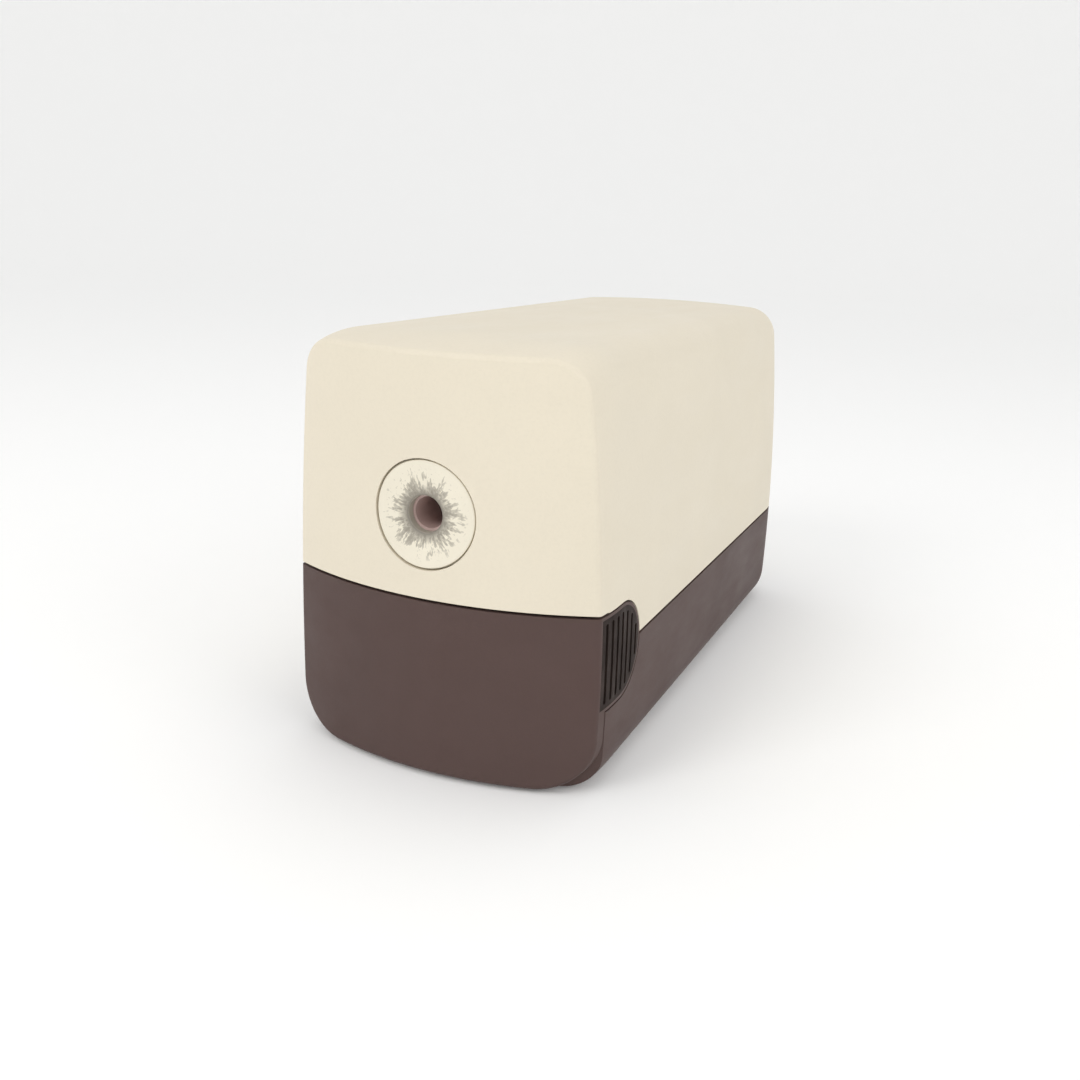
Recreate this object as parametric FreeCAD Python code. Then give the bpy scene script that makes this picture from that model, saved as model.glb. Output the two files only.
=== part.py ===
"""Electric desk pencil sharpener, built as an assembly of separate solids, one STEP file per node.

Frame: millimetres, +Z up, front (pencil side) towards -Y, origin at the centre of the footprint on
the desk. The Y dimensions below are measured from a plane MIDDLE_Y ahead of that centre, and every
part is moved there when it is kept. The body is one rounded tube that closes in towards a bowed front
and a rounded rear: a light upper housing over a dark base, and a dark shavings drawer whose front
wraps round both sides in ribbed D-shaped grips. Inside, a shaded-pole motor turns a cutter carrier
through two gear pairs, and a helical cutter rolls round a fixed ring gear as the carrier turns.
"""

import FreeCAD
import Part
import math
import os

V = FreeCAD.Vector
X_AXIS, Y_AXIS, Z_AXIS = V(1, 0, 0), V(0, 1, 0), V(0, 0, 1)

# ---- outer body -------------------------------------------------------------------------------
FOOT_DROP = 1.0          # the rubber feet lift the base off the desk by this much
TOP_Z = 118.0
FRONT_Y = -103.0         # foremost point of the bowed front
REAR_Y = 108.5           # outer face of the rear wall
MIDDLE_Y = 3.5           # middle of the overall length, moved to the origin when the parts are kept
HALF_BOTTOM = 46.5       # half widths of the bowed, tapering sides
HALF_MIDDLE = 46.2
HALF_TOP = 41.3
SHOULDER_Z = 116.4       # where the crowned top meets the sides, before rounding
MIDDLE_Z = 58.0
FRONT_BOW_R = 104.0      # vertical-axis radius of the bowed front
NOSE_Y = -80.0           # ahead of this the section draws in gently towards the front
NOSE_DRAW = 3.2          # by this much at the foremost point
NOSE_STEPS = (0.0, 8.0, 16.0, 24.0, 30.0)
BOTTOM_EDGE_R = 9.0
TOP_EDGE_R = 10.5
TAIL_LENGTH = 18.0       # the section closes in over this length towards the rear,
TAIL_SIDE = 8.8          # by this much at each side,
TAIL_TOP = 17.0          # at the top
TAIL_BOTTOM = 14.0       # and at the bottom
TAIL_ANGLES = (0, 15, 30, 45, 60, 75, 90)
FRONT_EDGE_R = 1.6
WALL = 2.6
SEAM_Z = 37.3            # top of the base along the sides and the rear
SEAM_GAP = 0.8
TONGUE_RISE = 3.0

# ---- shavings drawer ---------------------------------------------------------------------------
DRAWER_TOP_Z = 50.3
DRAWER_FRONT = 3.2
PANEL_EDGE_R = 15.0      # bottom corners of the drawer's front panel, rounder than the base's
GRIP_R = 13.4            # radius of the D-shaped grips' round end
GRIP_Z = DRAWER_TOP_Z - GRIP_R
GRIP_Y = -78.1
GRIP_RIM = 0.9           # drawer wall left round each ribbed inlay
GRIP_FRONT_Y = -91.2
GRIP_POCKET = 1.4
GRIP_GROOVE = 0.9
GRIP_GROOVES = 7
GRIP_GROOVE_PITCH = 3.5
GRIP_GROOVE_W = 1.3
GRIP_GAP = 0.5
TRAY_HALF = 39.0
TRAY_REAR_Y = -14.0
TRAY_FLOOR_Z = 5.4
TRAY_TOP_Z = 46.0
TRAY_WALL = 2.0

# ---- pencil axis and cutter head ---------------------------------------------------------------
PENCIL_Z = 73.5
GUIDE_DISC_R = 14.2
GUIDE_HOLE_R = 4.9
PENCIL_R = 4.25          # bore that guides a 7 to 8 mm pencil
SLEEVE_R = 6.5
PLANET_Y = -68.0         # centre of the cutter's pinion
CUTTER_TILT = 11.0       # degrees between the cutter's axis and the pencil's
PLANET_MODULE = 0.8
PLANET_TEETH = 14
RING_TEETH = 44
PLANET_OFFSET = PLANET_MODULE * (RING_TEETH - PLANET_TEETH) / 2
CUTTER_R = 6.0
CUTTER_FLUTES = 18
CUTTER_PIN_R = 1.75

# ---- gear train --------------------------------------------------------------------------------
DRIVE_MODULE = 1.0
DRIVE_TEETH = 42
CLUSTER_PINION_TEETH = 14
CLUSTER_MODULE = 0.8
CLUSTER_TEETH = 36
MOTOR_TEETH = 10
CLUSTER_ANGLE = 45.0     # direction from the pencil axis to the cluster gear's shaft
PRESSURE_ANGLE = 25.0
BACKLASH = 0.24

# ---- inner structure ---------------------------------------------------------------------------
DECK_Z0, DECK_Z1 = 48.0, 50.3
DECK_Y0, DECK_Y1 = -89.5, -8.2
BULKHEAD_Y0, BULKHEAD_Y1 = -84.0, -81.0
CASE_FRONT_Y0, CASE_FRONT_Y1 = -28.0, -25.5
CASE_REAR_Y0, CASE_REAR_Y1 = -11.0, -8.0
POST_X = 35.4
POST_YS = (-3.5, 91.0)
POST_R = 4.0
POST_JOINT_Z = 34.6      # base posts end and housing posts begin here
POST_TOP_Z = 108.0
SCREW_R = 1.6

# ---- motor -------------------------------------------------------------------------------------
STACK_Y0, STACK_Y1 = 10.0, 38.0
STACK_BOTTOM_Z, STACK_TOP_Z = 24.0, 103.5
STACK_HALF = 28.0
LIMB = 14.0
ROTOR_R = 12.1
AIR_GAP = 0.5
SHAFT_R = 2.0
FAN_Y0, FAN_Y1 = 48.5, 59.0
FAN_R = 18.5

cluster_distance = (DRIVE_TEETH + CLUSTER_PINION_TEETH) * DRIVE_MODULE / 2
CLUSTER_X = cluster_distance * math.cos(math.radians(CLUSTER_ANGLE))
CLUSTER_Z = PENCIL_Z + cluster_distance * math.sin(math.radians(CLUSTER_ANGLE))
MOTOR_Z = 87.0
motor_distance = (CLUSTER_TEETH + MOTOR_TEETH) * CLUSTER_MODULE / 2
MOTOR_X = CLUSTER_X - math.sqrt(motor_distance**2 - (CLUSTER_Z - MOTOR_Z) ** 2)

MADE = {}


# ---- small helpers -----------------------------------------------------------------------------
def box(x0, x1, y0, y1, z0, z1):
    return Part.makeBox(x1 - x0, y1 - y0, z1 - z0, V(x0, y0, z0))


def rod_y(radius, y0, y1, x=0.0, z=PENCIL_Z):
    return Part.makeCylinder(radius, y1 - y0, V(x, y0, z), Y_AXIS)


def tube_y(outer, inner, y0, y1, x=0.0, z=PENCIL_Z):
    return rod_y(outer, y0, y1, x, z).cut(rod_y(inner, y0 - 1, y1 + 1, x, z))


def cone_y(r0, r1, y0, y1, x=0.0, z=PENCIL_Z):
    return Part.makeCone(r0, r1, y1 - y0, V(x, y0, z), Y_AXIS)


def rod_z(radius, z0, z1, x, y):
    return Part.makeCylinder(radius, z1 - z0, V(x, y, z0), Z_AXIS)


def rod_x(radius, x0, x1, y, z):
    return Part.makeCylinder(radius, x1 - x0, V(x0, y, z), X_AXIS)


def fuse(*shapes):
    return shapes[0].fuse(list(shapes[1:])).removeSplitter()


def cut(shape, *tools):
    return shape.cut(list(tools))


def polygon_y(points, y0, y1):
    """Prism along Y from a closed outline of (x, z) points."""
    corners = [V(x, y0, z) for x, z in points]
    wire = Part.makePolygon(corners + corners[:1])
    return Part.Face(wire).extrude(V(0, y1 - y0, 0))


def round_edges(shape, radius, chosen):
    edges = [e for e in shape.Edges if chosen(e)]
    return shape.makeFillet(radius, edges) if edges else shape


def along(edge, axis):
    if not isinstance(edge.Curve, Part.Line):
        return False
    return abs(abs(edge.Curve.Direction.dot(axis)) - 1) < 1e-6


def slab(x0, x1, y0, y1, z0, z1, radius, axis):
    """A plate whose four edges along axis are rounded."""
    return round_edges(box(x0, x1, y0, y1, z0, z1), radius, lambda e: along(e, axis))


def polar(x, z, radius, angle):
    """Point of the XZ plane at an angle in degrees from +X towards +Z."""
    a = math.radians(angle)
    return x + radius * math.cos(a), z + radius * math.sin(a)


def turned(points, z=PENCIL_Z):
    """Solid turned about the pencil axis from a closed outline of (y, radius) points."""
    corners = [V(0, y, z + radius) for y, radius in points]
    face = Part.Face(Part.makePolygon(corners + corners[:1]))
    return face.revolve(V(0, 0, z), Y_AXIS, 360)


def keep(name, *solids):
    """Registers a node made of one or more separate closed solids."""
    shapes = [s for shape in solids for s in shape.Solids]
    part = shapes[0] if len(shapes) == 1 else Part.makeCompound(shapes)
    part.translate(V(0, -MIDDLE_Y, 0))
    MADE[name] = part


# ---- outer body --------------------------------------------------------------------------------
def tube_section(inset, bottom_r, y0, y1, side=0.0, top=0.0, bottom=0.0):
    """Length of the body's rounded tube with every face moved inwards by inset, and then the sides,
    the top and the bottom by their own further amounts."""
    z0, z1 = FOOT_DROP + inset + bottom, TOP_Z - inset - top
    across = inset + side
    low, mid, high = HALF_BOTTOM - across, HALF_MIDDLE - across, HALF_TOP - across
    shoulder = SHOULDER_Z - inset - top
    edges = [
        Part.LineSegment(V(-low, y0, z0), V(low, y0, z0)),
        Part.Arc(V(low, y0, z0), V(mid, y0, MIDDLE_Z), V(high, y0, shoulder)),
        Part.Arc(V(high, y0, shoulder), V(0, y0, z1), V(-high, y0, shoulder)),
        Part.Arc(V(-high, y0, shoulder), V(-mid, y0, MIDDLE_Z), V(-low, y0, z0)),
    ]
    tube = Part.Face(Part.Wire([e.toShape() for e in edges])).extrude(V(0, y1 - y0, 0))
    tube = round_edges(tube, bottom_r - inset, lambda e: along(e, Y_AXIS) and e.BoundBox.ZMax < MIDDLE_Z)
    return round_edges(tube, TOP_EDGE_R - inset, lambda e: along(e, Y_AXIS) and e.BoundBox.ZMin > MIDDLE_Z)


def section_wire(y, inset, bottom_r, side, top, bottom):
    return tube_section(inset, bottom_r, y - 1, y + 1, side, top, bottom).slice(Y_AXIS, y)[0]


def nose(inset, bottom_r):
    """Carries the body's section forward past the front, drawing it in along a parabola."""
    sections = []
    for distance in NOSE_STEPS:
        draw = NOSE_DRAW * (distance / (NOSE_Y - FRONT_Y)) ** 2
        sections.append(section_wire(NOSE_Y - distance, inset, bottom_r, draw, draw, 0.0))
    return Part.makeLoft(sections, True, False)


def tail(inset, bottom_r):
    """Closes the body's section in towards the rear along quarter ellipses."""
    start = REAR_Y - TAIL_LENGTH
    sections = [section_wire(start - lead, inset, bottom_r, 0.0, 0.0, 0.0) for lead in (10.0, 5.0)]
    for angle in TAIL_ANGLES:
        y = start + (TAIL_LENGTH - inset) * math.sin(math.radians(angle))
        closed = 1 - math.cos(math.radians(angle))
        draws = [(size - inset) * closed for size in (TAIL_SIDE, TAIL_TOP, TAIL_BOTTOM)]
        sections.append(section_wire(y, inset, bottom_r, *draws))
    return Part.makeLoft(sections, True, False)


def envelope(inset=0.0, bottom_r=BOTTOM_EDGE_R):
    """The whole body's outer form, with every face moved inwards by inset."""
    middle = tube_section(inset, bottom_r, NOSE_Y, REAR_Y - TAIL_LENGTH - 10.0)
    body = nose(inset, bottom_r).fuse([middle, tail(inset, bottom_r)]).cut(front_band(inset))
    front = [e for e in body.Edges if e.BoundBox.YMax < FRONT_Y + 12]
    return body.makeFillet(max(FRONT_EDGE_R - inset, 0.3), front)


def front_band(thickness):
    """Everything in front of a surface that lies thickness behind the bowed front."""
    block = box(-60, 60, FRONT_Y - 30, FRONT_Y + 30, -20, 150)
    bow = Part.makeCylinder(FRONT_BOW_R - thickness, 300, V(0, FRONT_Y + FRONT_BOW_R, -60), Z_AXIS)
    return block.cut(bow)


def grip_prism(grow=0.0):
    """D-shaped prism across the whole width: flat at the front, round at the rear."""
    radius = GRIP_R + grow
    straight = box(-80, 80, FRONT_Y - 30, GRIP_Y, GRIP_Z - radius, GRIP_Z + radius)
    return fuse(straight, rod_x(radius, -80, 80, GRIP_Y, GRIP_Z))


def upper_housing(outer, inner, clearance_skin):
    shell = outer.cut(inner)
    below_sides = box(-80, 80, FRONT_Y - 30, REAR_Y + 10, -20, SEAM_Z + SEAM_GAP)
    behind_drawer_face = front_band(DRAWER_FRONT + 0.7)
    drawer_face = behind_drawer_face.common(box(-80, 80, -140, -40, -20, DRAWER_TOP_Z + SEAM_GAP))
    tongue_room = clearance_skin.common(box(-80, 80, -80, REAR_Y + 10, 0, SEAM_Z + TONGUE_RISE + 0.3))
    shell = cut(shell, below_sides, drawer_face, grip_prism(GRIP_GAP), tongue_room)
    disc_recess = rod_y(GUIDE_DISC_R + 0.5, FRONT_Y - 5, FRONT_Y + 2.3)
    disc_seat = rod_y(GUIDE_DISC_R - 1.4, FRONT_Y - 5, FRONT_Y + 20)
    seat_boss = rod_y(GUIDE_DISC_R + 2.6, FRONT_Y + 2.0, FRONT_Y + 4.2)
    shell = cut(fuse(shell, seat_boss), disc_recess, disc_seat)
    for y in POST_YS:
        for x in (-POST_X, POST_X):
            side = math.copysign(1, x)
            post = rod_z(POST_R, POST_JOINT_Z + 0.1, POST_TOP_Z, x, y)
            outline = [(x, 44), (side * 45.0, 44), (side * 40.8, POST_TOP_Z), (x, POST_TOP_Z)]
            web = polygon_y(outline, y - 0.8, y + 0.8)
            shell = fuse(shell, post, web)
            shell = shell.cut(rod_z(SCREW_R + 0.02, POST_JOINT_Z - 1, 62, x, y))
    for slot in range(6):
        z = 66.0 + slot * 7.0
        shell = shell.cut(slab(-26, 26, REAR_Y - 8, REAR_Y + 5, z, z + 2.6, 1.25, Y_AXIS))
    return shell


def base(outer, inner, tongue_skin):
    shell = outer.cut(inner).common(box(-80, 80, -140, REAR_Y + 10, -20, SEAM_Z))
    low_front = box(-80, 80, -140, -40, -20, GRIP_Z - GRIP_R - 2)
    lip = front_band(DRAWER_FRONT + 4.4).common(outer).common(low_front)
    shell = fuse(shell, lip.cut(envelope(1.2, PANEL_EDGE_R)))
    tongue = tongue_skin.cut(inner).common(box(-80, 80, -52, REAR_Y + 10, SEAM_Z - 4, SEAM_Z + TONGUE_RISE))
    shell = fuse(shell, tongue)
    shell = cut(shell, front_band(DRAWER_FRONT + 0.7), grip_prism(GRIP_GAP))
    solids = [shell]
    for side in (-1, 1):
        x0, x1 = sorted((side * (RAIL_X - 1.55), side * (RAIL_X + 1.55)))
        solids.append(box(x0, x1, -56, -14, FLOOR_Z - 0.6, DECK_Z0 - 0.05).common(outer))
    for y in POST_YS:
        for x in (-POST_X, POST_X):
            solids.append(rod_z(POST_R + 0.6, FLOOR_Z - 0.6, POST_JOINT_Z, x, y).common(outer))
    for x, y in CRADLE_POINTS:
        solids.append(rod_z(4.5, FLOOR_Z - 0.6, 8.6, x, y))
    for x, y in FOOT_POINTS:
        solids.append(rod_z(FOOT_R + 1.6, FOOT_DROP + 1.0, FLOOR_Z + 0.8, x, y).common(outer))
    shell = fuse(*solids)
    for y in POST_YS:
        for x in (-POST_X, POST_X):
            shell = shell.cut(rod_z(3.6, -1, 22.0, x, y))
            shell = shell.cut(rod_z(SCREW_R + 0.25, 20, 60, x, y))
    for x, y in CRADLE_POINTS:
        shell = shell.cut(rod_z(1.35, FLOOR_Z - 0.8, 20, x, y))
    for x, y in FOOT_POINTS:
        shell = shell.cut(rod_z(FOOT_R + 0.05, -1, FOOT_DROP + 1.4, x, y))
    for x, y in DECK_SCREWS:
        shell = shell.cut(rod_z(1.0, DECK_Z0 - 9, DECK_Z0 + 5, x, y))
    shell = shell.cut(rod_y(GLAND_BODY_R + 0.05, 90, 110, GLAND_X, GLAND_Z))
    label_room = slab(-23, 23, 52, 80, FOOT_DROP - 1, FOOT_DROP + 0.5, 2.5, Z_AXIS)
    shell = shell.cut(label_room)
    for slot in range(6):
        x = -20.0 + slot * 8.0
        shell = shell.cut(slab(x, x + 2.6, 12, 38, -1, 12, 1.25, Z_AXIS))
    return shell


CRADLE_POINTS = [(MOTOR_X + side * 18.0, y) for y in (3.0, 45.0) for side in (-1, 1)]
FLOOR_Z = FOOT_DROP + WALL
RAIL_X = 41.35
FOOT_POINTS = [(-31.0, -76.0), (31.0, -76.0), (-31.0, 78.0), (31.0, 78.0)]
FOOT_NAMES = ["foot_front_left", "foot_front_right", "foot_rear_left", "foot_rear_right"]
FOOT_R = 7.0
DECK_SCREWS = [(side * RAIL_X, y) for y in (-50.0, -20.0) for side in (-1, 1)]
GLAND_X, GLAND_Z, GLAND_BODY_R, GLAND_BORE_R = -26.0, 22.0, 5.6, 3.4


def shavings_drawer(outer, inner):
    face = envelope(0.0, PANEL_EDGE_R).common(front_band(DRAWER_FRONT))
    face = face.common(box(-80, 80, -140, -40, -20, DRAWER_TOP_Z))
    wings = outer.cut(inner).common(grip_prism())
    wings = wings.common(box(-80, 80, FRONT_Y, GRIP_Y + GRIP_R + 1, 0, DRAWER_TOP_Z))
    tray = slab(-TRAY_HALF, TRAY_HALF, FRONT_Y + 1.2, TRAY_REAR_Y, TRAY_FLOOR_Z, TRAY_TOP_Z + 20, 9, Y_AXIS)
    hollow = slab(
        -TRAY_HALF + TRAY_WALL, TRAY_HALF - TRAY_WALL, FRONT_Y - 5, TRAY_REAR_Y - TRAY_WALL,
        TRAY_FLOOR_Z + TRAY_WALL, TRAY_TOP_Z + 30, 7, Y_AXIS,
    )
    tray = tray.cut(hollow).common(box(-80, 80, -140, 0, 0, TRAY_TOP_Z)).cut(front_band(1.5))
    pieces = [face, wings, tray]
    for side in (-1, 1):
        x0, x1 = sorted((side * (TRAY_HALF - 0.8), side * (HALF_MIDDLE - 1.8)))
        for y in (-87.0, -70.0):
            pieces.append(box(x0, x1, y, y + 2.0, GRIP_Z - 8.5, GRIP_Z + 8.5).common(outer))
        x0, x1 = sorted((side * 18.0, side * 21.0))
        pieces.append(box(x0, x1, -88, TRAY_REAR_Y - 1, FLOOR_Z + 0.1, TRAY_FLOOR_Z + 0.5))
    pocket = outer.cut(envelope(GRIP_POCKET)).common(grip_inlay_prism(0.05))
    return fuse(*pieces).cut(pocket)


def grip_inlay_prism(gap):
    """D-shaped prism of the ribbed inlays, with a gap all round it."""
    radius = GRIP_R - GRIP_RIM + gap
    straight = box(-80, 80, GRIP_FRONT_Y - gap, GRIP_Y, GRIP_Z - radius, GRIP_Z + radius)
    return fuse(straight, rod_x(radius, -80, 80, GRIP_Y, GRIP_Z))


def grip_inlay(outer, side):
    """Dark ribbed inlay that lines one of the drawer's D-shaped grips."""
    skin = outer.cut(envelope(GRIP_POCKET - 0.05)).common(grip_inlay_prism(0.0))
    skin = skin.common(box(0, 80, -140, 0, 0, 80) if side > 0 else box(-80, 0, -140, 0, 0, 80))
    floor = envelope(GRIP_GROOVE)
    grooves = []
    for i in range(GRIP_GROOVES):
        y = GRIP_FRONT_Y + 1.8 + i * GRIP_GROOVE_PITCH
        reach = math.sqrt((GRIP_R - GRIP_RIM) ** 2 - max(y + GRIP_GROOVE_W - GRIP_Y, 0) ** 2) - 1.3
        groove = slab(-80, 80, y, y + GRIP_GROOVE_W, GRIP_Z - reach, GRIP_Z + reach, 0.6, X_AXIS)
        grooves.append(groove.cut(floor))
    return skin.cut(grooves)


def guide_disc():
    """Dished escutcheon round the pencil hole, bowed like the front it is let into."""
    y0 = FRONT_Y
    disc = rod_y(GUIDE_DISC_R, y0 - 1, y0 + 2.25).cut(front_band(0.35))
    rim = [e for e in disc.Edges if e.BoundBox.YMax < y0 + 1.9 and e.Length > 20]
    disc = disc.makeFillet(0.3, rim)
    spigot = tube_y(GUIDE_DISC_R - 1.5, GUIDE_DISC_R - 3.1, y0 + 2.0, y0 + 4.6)
    back = cone_y(9.0, 7.5, y0 + 2.0, y0 + 3.4)
    dish = cone_y(10.0, GUIDE_HOLE_R - 0.5, y0 + 0.3, y0 + 1.3)
    disc = fuse(disc, spigot, back).cut(dish)
    disc = disc.cut(rod_y(GUIDE_HOLE_R, y0 - 2, y0 + 5))
    lip = [e for e in disc.Edges if isinstance(e.Curve, Part.Circle)
           and abs(e.Curve.Radius - GUIDE_HOLE_R) < 0.01 and e.BoundBox.YMax < y0 + 1.6]
    return disc.makeFillet(0.35, lip)


def guide_tube():
    """Dark tube that leads the pencil in, with a slot for the start lever and a bearing sleeve."""
    front = FRONT_Y + 3.5
    tube = tube_y(7.4, PENCIL_R, front, front + 6.0)
    sleeve = tube_y(SLEEVE_R, PENCIL_R + 0.25, front + 6.0, PLANET_Y - 3.4)
    flange = tube_y(11.0, PENCIL_R + 0.25, BULKHEAD_Y0 - 2.0, BULKHEAD_Y0 - 0.05)
    slot = box(-1.7, 2.7, LEVER_Y - 1.7, LEVER_Y + 1.7, PENCIL_Z, PENCIL_Z + 9)
    return fuse(tube, sleeve, flange).cut(slot)


def deck():
    plate = box(-42.8, 42.8, DECK_Y0, DECK_Y1, DECK_Z0, DECK_Z1).cut(front_band(6.0))
    chute = slab(-21, 21, -78.0, -30.5, DECK_Z0 - 1, DECK_Z1 + 1, 4, Z_AXIS)
    plate = plate.cut(chute)
    for x, y in DECK_SCREWS:
        plate = plate.cut(rod_z(1.25, DECK_Z0 - 1, DECK_Z1 + 1, x, y))
    for x in BULKHEAD_SCREW_X:
        plate = plate.cut(rod_z(1.1, DECK_Z0 - 1, DECK_Z1 + 1, x, BULKHEAD_Y0 - 2.5))
    for x in (-24.0, 36.0):
        plate = plate.cut(rod_z(1.1, DECK_Z0 - 1, DECK_Z1 + 1, x, CASE_FRONT_Y0 - 4.0))
    return plate


BULKHEAD_SCREW_X = (-34.0, 34.0)


def front_bulkhead():
    plate = slab(-37.5, 37.5, BULKHEAD_Y0, BULKHEAD_Y1, DECK_Z1 + 0.05, 103, 9, Y_AXIS)
    square_foot = box(-37.5, 37.5, BULKHEAD_Y0, BULKHEAD_Y1, DECK_Z1 + 0.05, 62)
    flange = box(-37.5, 37.5, BULKHEAD_Y0 - 5.0, BULKHEAD_Y1, DECK_Z1 + 0.05, DECK_Z1 + 2.3)
    flange = flange.cut(front_band(6.0))
    boss = box(SWITCH_X0 - 1, SWITCH_X1 + 1, LEVER_Y + 3.25, BULKHEAD_Y0 + 1, SWITCH_Z0 - 0.5, SWITCH_Z1)
    plate = fuse(plate, square_foot, flange, boss)
    plate = plate.cut(rod_y(SLEEVE_R + 0.02, -100, -60))
    plate = plate.cut(rod_y(LEVER_PIN_R + 0.02, -100, -60, LEVER_X, LEVER_Z))
    for x in BULKHEAD_SCREW_X:
        plate = plate.cut(rod_z(1.3, 40, 60, x, BULKHEAD_Y0 - 2.5))
    for x in SWITCH_SCREW_X:
        plate = plate.cut(rod_y(0.95, LEVER_Y, BULKHEAD_Y1 + 1, x, SWITCH_SCREW_Z))
    for x, z in RING_SCREWS:
        plate = plate.cut(rod_y(1.22, -100, -60, x, z))
    return plate


LEVER_Y, LEVER_X, LEVER_Z, LEVER_PIN_R = -91.4, -15.0, PENCIL_Z + 9.3, 1.5
SWITCH_X0, SWITCH_X1, SWITCH_Z0, SWITCH_Z1 = -31.0, -12.5, LEVER_Z - 22.0, LEVER_Z - 12.6
SWITCH_SCREW_X = (-26.8, -16.8)
SWITCH_SCREW_Z = SWITCH_Z0 + 2.4
BUTTON_X, BUTTON_TOP_Z = -22.6, LEVER_Z - 10.4


def start_lever():
    """Rocker on its pin: the nose stands in the pencil's way, the other arm works the switch."""
    y0, y1 = LEVER_Y - 1.25, LEVER_Y + 1.25
    hub = rod_y(3.6, y0, y1, LEVER_X, LEVER_Z)
    arm = [(LEVER_X, LEVER_Z - 2.1), (1.2, LEVER_Z - 0.8), (1.2, LEVER_Z + 2.6),
           (LEVER_X, LEVER_Z + 3.0)]
    tip_z = PENCIL_Z + 2.6
    top_z = LEVER_Z + 0.5
    tip = [(-1.2, top_z), (-1.2, tip_z + 1), (-0.6, tip_z), (0.6, tip_z), (1.2, tip_z + 1), (1.2, top_z)]
    foot_z = BUTTON_TOP_Z + 0.15
    foot = [(LEVER_X, LEVER_Z - 2.5), (LEVER_X, LEVER_Z + 3.2), (-24.4, LEVER_Z + 2.0),
            (-24.4, foot_z + 0.6), (-23.8, foot_z), (-22.0, foot_z), (-21.4, foot_z + 0.6),
            (-21.4, LEVER_Z - 3.4)]
    lever = fuse(hub, *[polygon_y(outline, y0, y1) for outline in (arm, tip, foot)])
    return lever.cut(rod_y(LEVER_PIN_R + 0.05, y0 - 1, y1 + 1, LEVER_X, LEVER_Z))


def lever_spring():
    """Torsion spring on the lever's pin, between the lever and the bulkhead."""
    pitch, height, radius, wire_r = 0.9, 4.5, 2.7, 0.3
    helix = Part.makeHelix(pitch, height, radius)
    profile = Part.Wire(Part.makeCircle(wire_r, V(radius, 0, 0), V(0, 1, 0)))
    coil = Part.Wire(helix).makePipeShell([profile], True, True)
    coil.rotate(V(0, 0, 0), X_AXIS, -90)
    coil.translate(V(LEVER_X, LEVER_Y + 1.9, LEVER_Z))
    return coil


def switch_body():
    y0, y1 = LEVER_Y - 3.2, LEVER_Y + 3.2
    body = slab(SWITCH_X0, SWITCH_X1, y0, y1, SWITCH_Z0, SWITCH_Z1, 0.8, Y_AXIS)
    well = box(BUTTON_X - 1.35, BUTTON_X + 1.35, LEVER_Y - 1.35, LEVER_Y + 1.35, SWITCH_Z1 - 2.8, 90)
    body = body.cut(well)
    for x in SWITCH_SCREW_X:
        body = body.cut(rod_y(1.1, y0 - 1, y1 + 1, x, SWITCH_SCREW_Z))
    return body


def switch_button():
    return slab(
        BUTTON_X - 1.25, BUTTON_X + 1.25, LEVER_Y - 1.25, LEVER_Y + 1.25,
        SWITCH_Z1 - 1.2, BUTTON_TOP_Z, 0.5, Y_AXIS,
    )


def switch_terminals():
    y0, y1 = LEVER_Y - 1.6, LEVER_Y + 1.6
    return [box(x, x + 0.6, y0, y1, SWITCH_Z0 - 5.5, SWITCH_Z0 - 0.02) for x in (-29.5, -22.0, -14.9)]


# ---- gears -------------------------------------------------------------------------------------
def gear_face(teeth, module, tip_r, root_r, thinner, angle, tilt_angle=PRESSURE_ANGLE):
    """Involute gear outline in the XZ plane about the origin, with one tooth centred at angle degrees
    from +X towards +Z, and each tooth thinner than half the pitch by thinner millimetres."""
    pitch_r = module * teeth / 2
    base_r = pitch_r * math.cos(math.radians(tilt_angle))

    def involute(a):
        return math.tan(a) - a

    def half_angle(radius):
        radius = max(radius, base_r)
        at = math.acos(base_r / radius)
        half = (math.pi * module / 2 - thinner) / 2 / pitch_r
        return half + involute(math.radians(tilt_angle)) - involute(at)

    def point(radius, a):
        return V(radius * math.cos(a), 0, radius * math.sin(a))

    start_r = max(root_r, base_r)
    middle_r = (start_r + tip_r) / 2
    edges = []
    step = 2 * math.pi / teeth
    for i in range(teeth):
        c = math.radians(angle) + i * step
        foot, mid, tip = half_angle(start_r), half_angle(middle_r), half_angle(tip_r)
        if root_r < start_r - 1e-6:
            edges.append(Part.makeLine(point(root_r, c - foot), point(start_r, c - foot)))
        rise = Part.Arc(point(start_r, c - foot), point(middle_r, c - mid), point(tip_r, c - tip))
        fall = Part.Arc(point(tip_r, c + tip), point(middle_r, c + mid), point(start_r, c + foot))
        land = Part.makeLine(point(tip_r, c - tip), point(tip_r, c + tip))
        edges += [rise.toShape(), land, fall.toShape()]
        if root_r < start_r - 1e-6:
            edges.append(Part.makeLine(point(start_r, c + foot), point(root_r, c + foot)))
        low_r = min(root_r, start_r)
        edges.append(Part.makeLine(point(low_r, c + foot), point(low_r, c + step - foot)))
    return Part.Face(Part.Wire(edges))


def spur_gear(teeth, module, y0, y1, x, z, angle, bore):
    tip_r, root_r = module * (teeth / 2 + 0.8), module * (teeth / 2 - 1.1)
    face = gear_face(teeth, module, tip_r, root_r, BACKLASH / 2, angle)
    gear = face.extrude(V(0, y1 - y0, 0))
    gear.translate(V(x, y0, z))
    return gear.cut(rod_y(bore, y0 - 1, y1 + 1, x, z)) if bore else gear


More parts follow.
